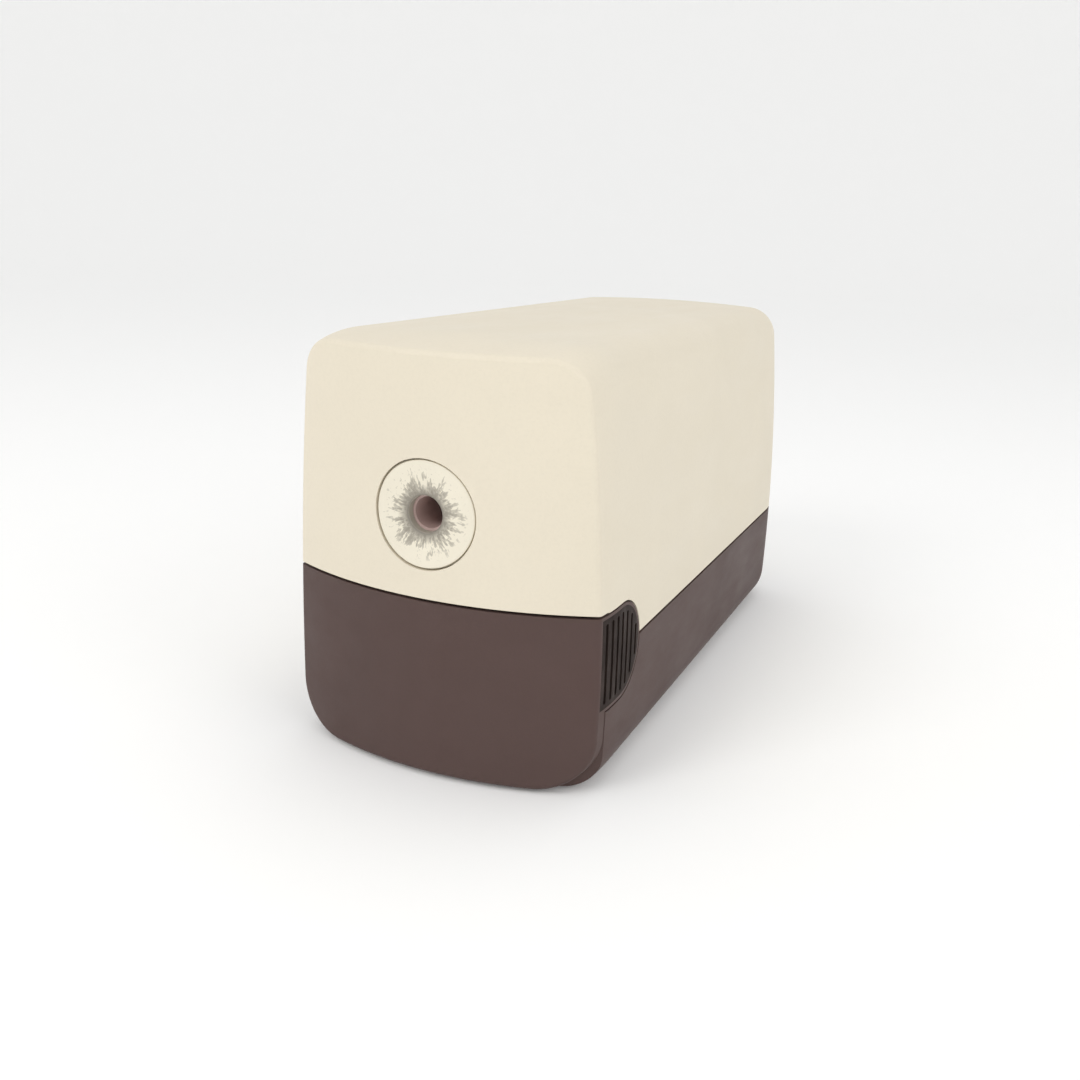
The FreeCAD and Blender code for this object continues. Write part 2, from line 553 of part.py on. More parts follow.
def ring_gear():
    """Fixed cup with internal teeth, screwed to the front bulkhead."""
    pitch_r = PLANET_MODULE * RING_TEETH / 2
    y0, y1 = PLANET_Y - 2.2, PLANET_Y + 2.2
    ring = rod_y(22.0, y0, y1)
    tip_r, root_r = pitch_r + PLANET_MODULE * 1.25, pitch_r - PLANET_MODULE * 0.62
    space = gear_face(RING_TEETH, PLANET_MODULE, tip_r, root_r, -0.34, 90.0)
    space = space.extrude(V(0, y1 - y0 + 2, 0))
    space.translate(V(0, y0 - 1, PENCIL_Z))
    cup = tube_y(22.0, 19.2, BULKHEAD_Y1 + 0.05, y0)
    ring = fuse(ring.cut(space), cup)
    for x, z in RING_SCREWS:
        ear = rod_y(4.2, BULKHEAD_Y1 + 0.05, BULKHEAD_Y1 + 2.5, x, z).cut(rod_y(19.5, -90, -60))
        ring = fuse(ring, ear).cut(rod_y(1.3, -90, -60, x, z))
    return ring


RING_SCREWS = [polar(0, PENCIL_Z, 25.0, a) for a in (30, 150)]


def tilted(shape):
    """Moves a shape built along +Y from the origin onto the cutter's own axis."""
    shape = shape.copy()
    shape.rotate(V(0, 0, 0), X_AXIS, -CUTTER_TILT)
    shape.translate(V(0, PLANET_Y, PENCIL_Z + PLANET_OFFSET))
    return shape


def cutter_pinion():
    face = gear_face(PLANET_TEETH, PLANET_MODULE, PLANET_MODULE * (PLANET_TEETH / 2 + 0.62),
                     PLANET_MODULE * (PLANET_TEETH / 2 - 1.1), 0.14, 90.0)
    gear = face.extrude(V(0, 3.0, 0))
    gear.translate(V(0, -1.5, 0))
    return tilted(gear.cut(rod_y(CUTTER_PIN_R + 0.05, -5, 5, 0, 0)))


def helical_cutter():
    """Fluted steel cutter: a star section that turns as it runs back along its axis."""
    start, end, turn, layers = 2.7, 32.6, 80.0, 5
    root_r = CUTTER_R - 0.8
    wires = []
    for layer in range(layers + 1):
        part = layer / layers
        points = []
        for i in range(CUTTER_FLUTES):
            a = math.radians(turn * part + 360.0 * i / CUTTER_FLUTES)
            b = a + math.radians(360.0 * 0.72 / CUTTER_FLUTES)
            y = start + (end - start) * part
            points.append(V(CUTTER_R * math.cos(a), y, CUTTER_R * math.sin(a)))
            points.append(V(root_r * math.cos(b), y, root_r * math.sin(b)))
        wires.append(Part.makePolygon(points + points[:1]))
    body = Part.makeLoft(wires, True, True)
    collar = rod_y(4.6, 1.52, start + 0.4, 0, 0)
    body = body.fuse(collar)
    return tilted(body.cut(rod_y(CUTTER_PIN_R + 0.05, -2, end + 5, 0, 0)))


def cutter_carrier():
    """Rotating cage: front flange, half drum that backs the pencil, rear flange and hub."""
    flange = rod_y(16.0, PLANET_Y - 7.0, PLANET_Y - 3.3)
    drum = rod_y(13.0, PLANET_Y - 4.0, PLANET_Y + 35.0)
    drum = drum.cut(box(-20, 20, PLANET_Y - 3.3, PLANET_Y + 33.6, PENCIL_Z + 1.5, PENCIL_Z + 20))
    rear = rod_y(13.0, PLANET_Y + 33.6, PLANET_Y + 38.0)
    neck = rod_y(7.5, PLANET_Y + 37.0, DRIVE_Y0 - 0.05)
    hub = rod_y(5.0, DRIVE_Y0 - 1, DRIVE_Y1 + 0.6)
    journal = rod_y(4.0, DRIVE_Y1, CASE_REAR_Y1 + 0.5)
    cage = fuse(flange, drum, rear, neck, hub, journal)
    cutter_room = tilted(rod_y(CUTTER_R + 0.7, -2.4, 33.6, 0, 0))
    pinion_room = tilted(rod_y(7.3, -2.0, 3.4, 0, 0))
    pin_hole = tilted(rod_y(CUTTER_PIN_R, -8.0, 39.5, 0, 0))
    sleeve_room = rod_y(SLEEVE_R + 0.06, PLANET_Y - 12, PLANET_Y - 3.2)
    apex_y = PLANET_Y + 30.3
    cone_y0 = apex_y - PENCIL_R / math.tan(math.radians(CUTTER_TILT))
    way_r = PENCIL_R + 0.1
    pencil_way = turned([(PLANET_Y - 12, 0), (PLANET_Y - 12, way_r), (cone_y0, way_r), (apex_y, 0)])
    return cut(cage, cutter_room, pinion_room, pin_hole, sleeve_room, pencil_way)


DRIVE_Y0, DRIVE_Y1 = -24.0, -18.0


def drive_gear():
    gear = spur_gear(DRIVE_TEETH, DRIVE_MODULE, DRIVE_Y0, DRIVE_Y1, 0, PENCIL_Z, CLUSTER_ANGLE, 5.02)
    for i in range(6):
        gear = gear.cut(rod_y(3.2, DRIVE_Y0 - 1, DRIVE_Y1 + 1, *polar(0, PENCIL_Z, 12.0, 60.0 * i)))
    return gear


def cluster_gear():
    """Big gear and small pinion moulded as one, turning on a fixed steel pin."""
    pinion_angle = CLUSTER_ANGLE + 180 + 180 / CLUSTER_PINION_TEETH
    x, z = CLUSTER_X, CLUSTER_Z
    pinion = spur_gear(CLUSTER_PINION_TEETH, DRIVE_MODULE, -24.4, -17.2, x, z, pinion_angle, 0)
    wheel = spur_gear(CLUSTER_TEETH, CLUSTER_MODULE, -17.2, -13.2, x, z, motor_angle(), 0)
    hub = rod_y(3.4, -13.3, CASE_REAR_Y0 - 0.3, x, z)
    return fuse(pinion, wheel, hub).cut(rod_y(2.05, -40, 0, x, z))


def motor_angle():
    """Direction from the cluster gear's shaft to the motor's, in degrees from +X towards +Z."""
    return math.degrees(math.atan2(MOTOR_Z - CLUSTER_Z, MOTOR_X - CLUSTER_X))


def motor_pinion():
    angle = motor_angle() + 180 + 180 / MOTOR_TEETH
    return spur_gear(MOTOR_TEETH, CLUSTER_MODULE, -17.4, -12.8, MOTOR_X, MOTOR_Z, angle, SHAFT_R)


def gearcase_front():
    plate = case_plate(CASE_FRONT_Y0, CASE_FRONT_Y1)
    rim = case_plate(CASE_FRONT_Y1 - 0.5, CASE_REAR_Y0 - 0.05).cut(case_plate(CASE_FRONT_Y1 - 1, 0, -2.0))
    pin_boss = rod_y(4.0, CASE_FRONT_Y1 - 0.5, -24.8, CLUSTER_X, CLUSTER_Z)
    foot = box(-28, 40, CASE_FRONT_Y0 - 7.0, CASE_FRONT_Y1, DECK_Z1 + 0.05, DECK_Z1 + 2.3)
    toe = box(-28, 40, CASE_FRONT_Y0, CASE_FRONT_Y1, DECK_Z1 + 0.05, DECK_Z1 + 4)
    case = fuse(plate, rim, pin_boss, foot, toe).cut(rod_y(8.2, -40, -20))
    case = case.cut(box(-22, 22, -40, CASE_FRONT_Y0 - 0.01, 40, 60))
    case = case.cut(rod_y(2.0, -26.6, 0, CLUSTER_X, CLUSTER_Z))
    for x in (-24.0, 36.0):
        case = case.cut(rod_z(1.3, 40, 60, x, CASE_FRONT_Y0 - 4.0))
    for x, z in CASE_SCREWS:
        case = case.fuse(rod_y(3.2, CASE_FRONT_Y0, CASE_REAR_Y0 - 0.05, x, z)).cut(rod_y(1.1, -40, 0, x, z))
    return case.common(box(-60, 60, -60, 0, DECK_Z1 + 0.05, 130))


CASE_SCREWS = [polar(0, PENCIL_Z, 26.6, a) for a in (150, 215)]
CASE_SCREWS += [polar(CLUSTER_X, CLUSTER_Z, 19.8, a) for a in (150, -65)]


def case_plate(y0, y1, grow=0.0):
    """Outline that wraps the gear train, as a plate from y0 to y1."""
    big = DRIVE_TEETH * DRIVE_MODULE / 2 + 3.6 + grow
    small = CLUSTER_TEETH * CLUSTER_MODULE / 2 + 3.4 + grow
    ends = [rod_y(big, y0, y1), rod_y(small, y0, y1, CLUSTER_X, CLUSTER_Z)]
    return fuse(*ends, hull_bar(big, small, y0, y1))


def hull_bar(r0, r1, y0, y1):
    """Tangent-sided bar between the two circles of the gear case."""
    d = cluster_distance
    lean = math.asin((r0 - r1) / d)
    a = math.radians(CLUSTER_ANGLE)
    up, down = a + math.pi / 2 - lean, a - math.pi / 2 + lean
    points = [
        (r0 * math.cos(up), PENCIL_Z + r0 * math.sin(up)),
        (CLUSTER_X + r1 * math.cos(up), CLUSTER_Z + r1 * math.sin(up)),
        (CLUSTER_X + r1 * math.cos(down), CLUSTER_Z + r1 * math.sin(down)),
        (r0 * math.cos(down), PENCIL_Z + r0 * math.sin(down)),
    ]
    return polygon_y(points, y0, y1)


def gearcase_rear():
    plate = slab(-29, 38.2, CASE_REAR_Y0, CASE_REAR_Y1, DECK_Z1 + 0.05, 112, 14, Y_AXIS)
    plate = plate.fuse(box(-29, 38.2, CASE_REAR_Y0, CASE_REAR_Y1, DECK_Z1 + 0.05, 66))
    plate = plate.cut(rod_y(6.0, -20, 0))
    plate = plate.cut(rod_y(5.2, -20, 0, MOTOR_X, MOTOR_Z))
    plate = plate.cut(rod_y(2.0, -20, 0, CLUSTER_X, CLUSTER_Z))
    for x, z in CASE_SCREWS:
        plate = plate.cut(rod_y(1.3, -20, 0, x, z))
    for x, z in MOTOR_SCREWS:
        plate = plate.cut(rod_y(1.75, -20, 0, x, z))
    return plate


def cutter_shroud():
    """Cover that keeps the shavings in the chute above the drawer."""
    y0, y1 = BULKHEAD_Y1 + 0.05, CASE_FRONT_Y0 - 0.1
    z0 = DECK_Z1 + 0.05

    def arch(radius, ya, yb):
        return fuse(rod_y(radius, ya, yb), box(-radius, radius, ya, yb, z0, PENCIL_Z))

    shroud = arch(25.2, y0 + 4.5, y1 - 7.2).cut(arch(23.4, y0, y1)).common(box(-60, 60, -90, 0, z0, 130))
    tabs = [box(x, x + 5.8, y0 + 8, y1 - 12, z0, z0 + 2.0) for x in (-31.0, 25.2)]
    return fuse(shroud, *tabs)


# ---- motor -------------------------------------------------------------------------------------
MOTOR_SCREWS = [(MOTOR_X - 19.0, MOTOR_Z + 9.0), (MOTOR_X + 19.0, MOTOR_Z - 9.0)]
CORE_SCREWS = [(MOTOR_X - 22.5, 31.0), (MOTOR_X + 22.5, 31.0)]


def stator_stack():
    x0, x1 = MOTOR_X - STACK_HALF, MOTOR_X + STACK_HALF
    core = slab(x0, x1, STACK_Y0, STACK_Y1, STACK_BOTTOM_Z, STACK_TOP_Z, 3, Y_AXIS)
    window = box(x0 + LIMB, x1 - LIMB, STACK_Y0 - 1, STACK_Y1 + 1, STACK_BOTTOM_Z + LIMB, 64)
    core = core.cut(window).cut(rod_y(ROTOR_R + AIR_GAP, 0, 60, MOTOR_X, MOTOR_Z))
    for x, z in MOTOR_SCREWS + CORE_SCREWS:
        core = core.cut(rod_y(1.8, 0, 60, x, z))
    for x, z, x1s, z1s in SHADING_SLOTS:
        core = core.cut(box(x - 0.1, x1s + 0.1, 0, 60, z - 0.1, z1s + 0.1))
    return core


SHADING_SLOTS = [(MOTOR_X + x, MOTOR_Z + z, MOTOR_X + x + 2.2, MOTOR_Z + z + 2.2)
                 for x, z in ((10.0, 10.0), (16.4, -1.6), (-12.2, -12.2), (-18.6, -0.6))]


def shading_rings():
    """Copper loops through the slots beside the rotor."""
    rings = []
    for a, b in ((0, 1), (2, 3)):
        ax0, az0, ax1, az1 = SHADING_SLOTS[a]
        bx0, bz0, bx1, bz1 = SHADING_SLOTS[b]
        bars = [box(ax0, ax1, STACK_Y0 - 2.2, STACK_Y1 + 2.2, az0, az1),
                box(bx0, bx1, STACK_Y0 - 2.2, STACK_Y1 + 2.2, bz0, bz1)]
        low, high = min(az0, bz0), max(az1, bz1)
        for y0, y1 in ((STACK_Y0 - 2.2, STACK_Y0 - 0.05), (STACK_Y1 + 0.05, STACK_Y1 + 2.2)):
            bars.append(box(bx0, bx1, y0, y1, low, high))
            bars.append(box(min(ax0, bx0), max(ax1, bx1), y0, y1, az0, az1))
        rings.append(fuse(*bars))
    return rings


def coil_bobbin():
    x0, x1 = MOTOR_X - STACK_HALF + LIMB, MOTOR_X + STACK_HALF - LIMB
    z0, z1 = STACK_BOTTOM_Z, STACK_BOTTOM_Z + LIMB
    limb_room = box(x0 - 5, x1 + 5, STACK_Y0 - 0.2, STACK_Y1 + 0.2, z0 - 0.2, z1 + 0.2)
    core = box(x0 + 0.2, x1 - 0.2, STACK_Y0 - 1.4, STACK_Y1 + 1.4, z0 - 1.4, z1 + 1.4)
    flanges = [slab(x, x + 1.4, STACK_Y0 - 9.6, STACK_Y1 + 9.6, z0 - 9.0, z1 + 10.0, 3, X_AXIS)
               for x in (x0 + 0.2, x1 - 1.6)]
    return fuse(core, *flanges).cut(limb_room)


def coil_winding():
    x0, x1 = MOTOR_X - STACK_HALF + LIMB + 1.7, MOTOR_X + STACK_HALF - LIMB - 1.7
    z0, z1 = STACK_BOTTOM_Z, STACK_BOTTOM_Z + LIMB
    outer = slab(x0, x1, STACK_Y0 - 8.8, STACK_Y1 + 8.8, z0 - 8.2, z1 + 9.2, 6, X_AXIS)
    return outer.cut(box(x0 - 5, x1 + 5, STACK_Y0 - 1.45, STACK_Y1 + 1.45, z0 - 1.45, z1 + 1.45))


def bearing_bracket(y0, y1, hub_y0, hub_y1):
    (ax, az), (bx, bz) = MOTOR_SCREWS
    lean = math.degrees(math.atan2(bz - az, bx - ax))
    bar = slab(-27, 27, y0, y1, -6.5, 6.5, 5, Y_AXIS)
    bar.rotate(V(0, 0, 0), Y_AXIS, -lean)
    bar.translate(V(MOTOR_X, 0, MOTOR_Z))
    bracket = fuse(bar, rod_y(9.0, hub_y0, hub_y1, MOTOR_X, MOTOR_Z))
    for x, z in MOTOR_SCREWS:
        bracket = fuse(bracket, rod_y(5.0, y0, y1, x, z)).cut(rod_y(1.8, -20, 80, x, z))
    return bracket.cut(rod_y(5.0, -20, 80, MOTOR_X, MOTOR_Z))


def motor_bearing(y0, y1):
    return tube_y(4.98, SHAFT_R + 0.05, y0, y1, MOTOR_X, MOTOR_Z)


def rotor():
    y0, y1 = STACK_Y0 + 0.5, STACK_Y1 - 0.5
    core = tube_y(ROTOR_R, SHAFT_R, y0 + 2.5, y1 - 2.5, MOTOR_X, MOTOR_Z)
    rings = [tube_y(ROTOR_R - 1.0, 6.5, a, b, MOTOR_X, MOTOR_Z)
             for a, b in ((y0, y0 + 2.5), (y1 - 2.5, y1))]
    return fuse(core, *rings)


def cooling_fan():
    """Flat-bladed plastic fan on the rear end of the motor shaft."""
    hub = rod_y(6.0, FAN_Y0, FAN_Y1, MOTOR_X, MOTOR_Z)
    disc = rod_y(FAN_R, FAN_Y0, FAN_Y0 + 1.6, MOTOR_X, MOTOR_Z)
    blades = []
    for i in range(9):
        blade = box(4.5, FAN_R, FAN_Y0 + 1.0, FAN_Y1 - 1.5, -0.7, 0.7)
        blade.rotate(V(0, 0, 0), Y_AXIS, 40.0 * i)
        blade.translate(V(MOTOR_X, 0, MOTOR_Z))
        blades.append(blade)
    return fuse(hub, disc, *blades).cut(rod_y(SHAFT_R, 0, 80, MOTOR_X, MOTOR_Z))


def motor_cradle():
    """Folded steel bracket that stands on the base and holds the motor's core by its lower corners."""
    x0, x1 = MOTOR_X - STACK_HALF, MOTOR_X + STACK_HALF
    pieces = [slab(x0, x1, STACK_Y0 - 1.65, STACK_Y1 + 1.65, 11.0, 12.6, 1.2, Z_AXIS)]
    pieces.append(slab(MOTOR_X - 23.5, MOTOR_X + 23.5, -2.5, 50.5, 11.0, 12.6, 5, Z_AXIS))
    for a, b in ((x0, x0 + 12.0), (x1 - 12.0, x1)):
        for y in (STACK_Y0 - 1.65, STACK_Y1 + 0.05):
            pieces.append(box(a, b, y, y + 1.6, 11.5, 38.0))
    cradle = fuse(*pieces)
    for x, z in CORE_SCREWS:
        cradle = cradle.cut(rod_y(1.8, 0, 60, x, z))
    for x, y in CRADLE_POINTS:
        cradle = cradle.cut(rod_z(3.0, 5, 20, x, y))
    return cradle


# ---- fasteners, rubber and trim ----------------------------------------------------------------
def pan_screw_y(x, z, head_y, tip_y, shank_r, head_r, head_h):
    """Screw along Y, head at head_y; the tip may lie on either side of it."""
    outward = -1 if tip_y > head_y else 1
    shank = rod_y(shank_r, min(head_y, tip_y), max(head_y, tip_y), x, z)
    y0, y1 = sorted((head_y, head_y + outward * head_h))
    head = round_edges(rod_y(head_r, y0, y1, x, z), head_h * 0.45, lambda e: abs(
        e.BoundBox.Center.y - (head_y + outward * head_h)) < 1e-6 and isinstance(e.Curve, Part.Circle))
    slot_y0, slot_y1 = sorted((head_y + outward * head_h * 0.45, head_y + outward * (head_h + 1)))
    cross = [box(x - head_r * 0.62, x + head_r * 0.62, slot_y0, slot_y1, z - 0.3, z + 0.3),
             box(x - 0.3, x + 0.3, slot_y0, slot_y1, z - head_r * 0.62, z + head_r * 0.62)]
    return fuse(shank, head).cut(cross)


def pan_screw_z(x, y, head_z, tip_z, shank_r, head_r, head_h):
    """Screw along Z, head at head_z; the tip may lie above or below it."""
    screw = pan_screw_y(0, 0, 0, tip_z - head_z, shank_r, head_r, head_h)
    screw.rotate(V(0, 0, 0), X_AXIS, 90)
    screw.translate(V(x, y, head_z))
    return screw


def rubber_foot(x, y):
    foot = rod_z(FOOT_R, 0, FOOT_DROP + 1.35, x, y)
    return foot.makeFillet(0.5, [e for e in foot.Edges if e.BoundBox.ZMax < 0.01])


def grommet(x, y):
    """Rubber ring between the cradle and its boss, gripping the cradle's hole."""
    ring = rod_z(5.0, 8.65, 10.95, x, y)
    neck = rod_z(2.95, 8.65, 13.2, x, y)
    top = rod_z(5.0, 12.65, 14.4, x, y)
    return fuse(ring, neck, top).cut(rod_z(1.7, 0, 20, x, y))


def cord_gland():
    """Bush in the rear wall that a supply cord passes through."""
    flange = rod_y(7.4, REAR_Y + 0.02, REAR_Y + 1.5, GLAND_X, GLAND_Z)
    flange = flange.makeFillet(0.6, [e for e in flange.Edges if e.BoundBox.YMin > REAR_Y + 1.4])
    body = rod_y(GLAND_BODY_R, REAR_Y - WALL - 3.0, REAR_Y + 0.1, GLAND_X, GLAND_Z)
    barb = rod_y(GLAND_BODY_R + 0.8, REAR_Y - WALL - 1.4, REAR_Y - WALL - 0.1, GLAND_X, GLAND_Z)
    return fuse(flange, body, barb).cut(rod_y(GLAND_BORE_R, 80, 120, GLAND_X, GLAND_Z))


def retaining_clip(y0, x, z, outer, inner):
    ring = tube_y(outer, inner, y0, y0 + 0.6, x, z)
    return ring.cut(box(x - 0.8, x + 0.8, y0 - 1, y0 + 2, z - outer - 1, z))


def main():
    outer, inner = envelope(), envelope(WALL)
    keep("upper_housing", upper_housing(outer, inner, envelope(1.35)))
    keep("lower_base", base(outer, inner, envelope(1.5)))
    keep("shavings_drawer", shavings_drawer(outer, inner))
    keep("grip_inlay_left", grip_inlay(outer, -1))
    keep("grip_inlay_right", grip_inlay(outer, 1))
    keep("pencil_guide_disc", guide_disc())
    keep("pencil_guide_tube", guide_tube())
    for name, (x, y) in zip(FOOT_NAMES, FOOT_POINTS):
        keep(name, rubber_foot(x, y))
    keep("cord_gland", cord_gland())
    keep("rating_label", slab(-22.7, 22.7, 52.3, 79.7, FOOT_DROP + 0.05, FOOT_DROP + 0.48, 2.3, Z_AXIS))

    keep("mechanism_deck", deck())
    keep("front_bulkhead", front_bulkhead())
    keep("cutter_shroud", cutter_shroud())
    keep("start_lever", start_lever())
    keep("lever_pin", rod_y(LEVER_PIN_R, LEVER_Y - 2.6, BULKHEAD_Y1, LEVER_X, LEVER_Z))
    keep("lever_clip", retaining_clip(LEVER_Y - 2.1, LEVER_X, LEVER_Z, 3.0, LEVER_PIN_R + 0.01))
    keep("lever_spring", lever_spring())
    keep("switch_body", switch_body())
    keep("switch_button", switch_button())
    keep("switch_terminals", *switch_terminals())
    keep("switch_screws", *[pan_screw_y(x, SWITCH_SCREW_Z, LEVER_Y - 3.25, BULKHEAD_Y1, 0.93, 1.9, 1.3)
                            for x in SWITCH_SCREW_X])

    keep("ring_gear", ring_gear())
    keep("cutter_carrier", cutter_carrier())
    keep("drive_gear", drive_gear())
    keep("cutter_pin", tilted(rod_y(CUTTER_PIN_R - 0.02, -7.6, 39.0, 0, 0)))
    keep("helical_cutter", helical_cutter())
    keep("cutter_pinion", cutter_pinion())
    keep("carrier_bush", tube_y(5.98, 4.05, CASE_REAR_Y0 - 0.6, CASE_REAR_Y1 + 0.2))
    keep("cluster_gear", cluster_gear())
    keep("cluster_pin", rod_y(1.98, -26.5, CASE_REAR_Y1, CLUSTER_X, CLUSTER_Z))
    keep("gearcase_front", gearcase_front())
    keep("gearcase_rear", gearcase_rear())

    keep("stator_stack", stator_stack())
    keep("shading_rings", *shading_rings())
    keep("coil_bobbin", coil_bobbin())
    keep("coil_winding", coil_winding())
    front, rear = STACK_Y0 - 2.5, STACK_Y1 + 2.5
    keep("motor_bracket_front", bearing_bracket(front - 5.0, front, front - 6.5, front))
    keep("motor_bracket_rear", bearing_bracket(rear, rear + 4.5, rear, rear + 5.5))
    keep("motor_bearing_front", motor_bearing(STACK_Y0 - 9.2, STACK_Y0 - 2.4))
    keep("motor_bearing_rear", motor_bearing(STACK_Y1 + 2.4, STACK_Y1 + 8.2))
    keep("motor_rotor", rotor())
    keep("motor_shaft", rod_y(SHAFT_R - 0.01, -17.6, FAN_Y1 + 2.5, MOTOR_X, MOTOR_Z))
    keep("motor_pinion", motor_pinion())
    keep("cooling_fan", cooling_fan())
    keep("motor_cradle", motor_cradle())
    spacers = [tube_y(4.2, 1.8, CASE_REAR_Y1 + 0.05, STACK_Y0 - 7.55, x, z) for x, z in MOTOR_SCREWS]
    pads = [tube_y(4.2, 1.8, a, b, x, z) for x, z in MOTOR_SCREWS
            for a, b in ((STACK_Y0 - 2.45, STACK_Y0 - 0.05), (STACK_Y1 + 0.05, STACK_Y1 + 2.45))]
    keep("motor_spacers", *spacers, *pads)
    keep("motor_bolts", *[pan_screw_y(x, z, STACK_Y1 + 7.05, CASE_REAR_Y0, 1.7, 3.2, 2.2)
                          for x, z in MOTOR_SCREWS])
    keep("core_bolts", *[pan_screw_y(x, z, STACK_Y1 + 1.7, STACK_Y0 - 5.0, 1.7, 3.2, 2.2)
                         for x, z in CORE_SCREWS])
    keep("core_nuts", *[hex_nut(x, z, STACK_Y0 - 4.3, 2.6) for x, z in CORE_SCREWS])
    keep("cradle_grommets", *[grommet(x, y) for x, y in CRADLE_POINTS])
    keep("cradle_screws", *[pan_screw_z(x, y, 14.45, 4.2, 1.3, 3.2, 2.0) for x, y in CRADLE_POINTS])

    keep("housing_screws", *[pan_screw_z(x, y, 21.95, 56.0, SCREW_R, 3.2, 2.2)
                             for y in POST_YS for x in (-POST_X, POST_X)])
    keep("deck_screws", *[pan_screw_z(x, y, DECK_Z1 + 0.05, DECK_Z0 - 8.0, 0.98, 1.4, 1.2)
                          for x, y in DECK_SCREWS])
    flange_top = DECK_Z1 + 2.35
    keep("bulkhead_screws", *[pan_screw_z(x, BULKHEAD_Y0 - 2.5, flange_top, DECK_Z0 - 1.0, 1.08, 2.0, 1.4)
                              for x in BULKHEAD_SCREW_X])
    keep("case_foot_screws", *[pan_screw_z(x, CASE_FRONT_Y0 - 4.0, flange_top, DECK_Z0 - 1.0, 1.08,
                                           2.1, 1.4) for x in (-24.0, 36.0)])
    keep("gearcase_screws", *[pan_screw_y(x, z, CASE_REAR_Y1 + 0.05, CASE_FRONT_Y0 + 2, 1.08, 2.2, 1.5)
                              for x, z in CASE_SCREWS])
    keep("ring_gear_screws", *[pan_screw_y(x, z, BULKHEAD_Y1 + 2.55, BULKHEAD_Y0 + 0.2, 1.2, 2.2, 1.4)
                               for x, z in RING_SCREWS])
    write_parts()


def hex_nut(x, z, y0, thickness):
    radius = 3.5
    points = [polar(x, z, radius, 60 * i) for i in range(6)]
    return polygon_y(points, y0, y0 + thickness).cut(rod_y(1.72, y0 - 1, y0 + thickness + 1, x, z))


def write_parts():
    os.makedirs("parts", exist_ok=True)
    for name, shape in MADE.items():
        if not shape.isValid() or any(s.Volume <= 0 for s in shape.Solids):
            print("CHECK", name, "is not a valid solid")
        shape.exportStep(f"parts/{name}.step")
    print(len(MADE), "nodes written")


main()
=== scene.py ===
"""Electric desk pencil sharpener: looks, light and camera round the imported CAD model."""

import math

import bpy
from mathutils import Matrix, Vector


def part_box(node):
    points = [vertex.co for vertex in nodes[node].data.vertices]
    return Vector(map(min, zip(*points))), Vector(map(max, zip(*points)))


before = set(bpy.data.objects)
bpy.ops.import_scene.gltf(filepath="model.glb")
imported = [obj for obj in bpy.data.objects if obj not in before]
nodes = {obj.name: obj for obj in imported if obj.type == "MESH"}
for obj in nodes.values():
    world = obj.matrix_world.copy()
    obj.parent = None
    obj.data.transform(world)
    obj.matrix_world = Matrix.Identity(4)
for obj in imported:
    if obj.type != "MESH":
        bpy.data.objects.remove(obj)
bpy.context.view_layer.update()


def srgb(r, g, b):
    """Linear colour from 0 to 255 display values."""
    linear = [((v / 255 + 0.055) / 1.055) ** 2.4 if v > 10 else v / 255 / 12.92 for v in (r, g, b)]
    return (*linear, 1.0)


def shade(colour, factor):
    return tuple(min(v * factor, 1.0) for v in colour[:3]) + (1.0,)


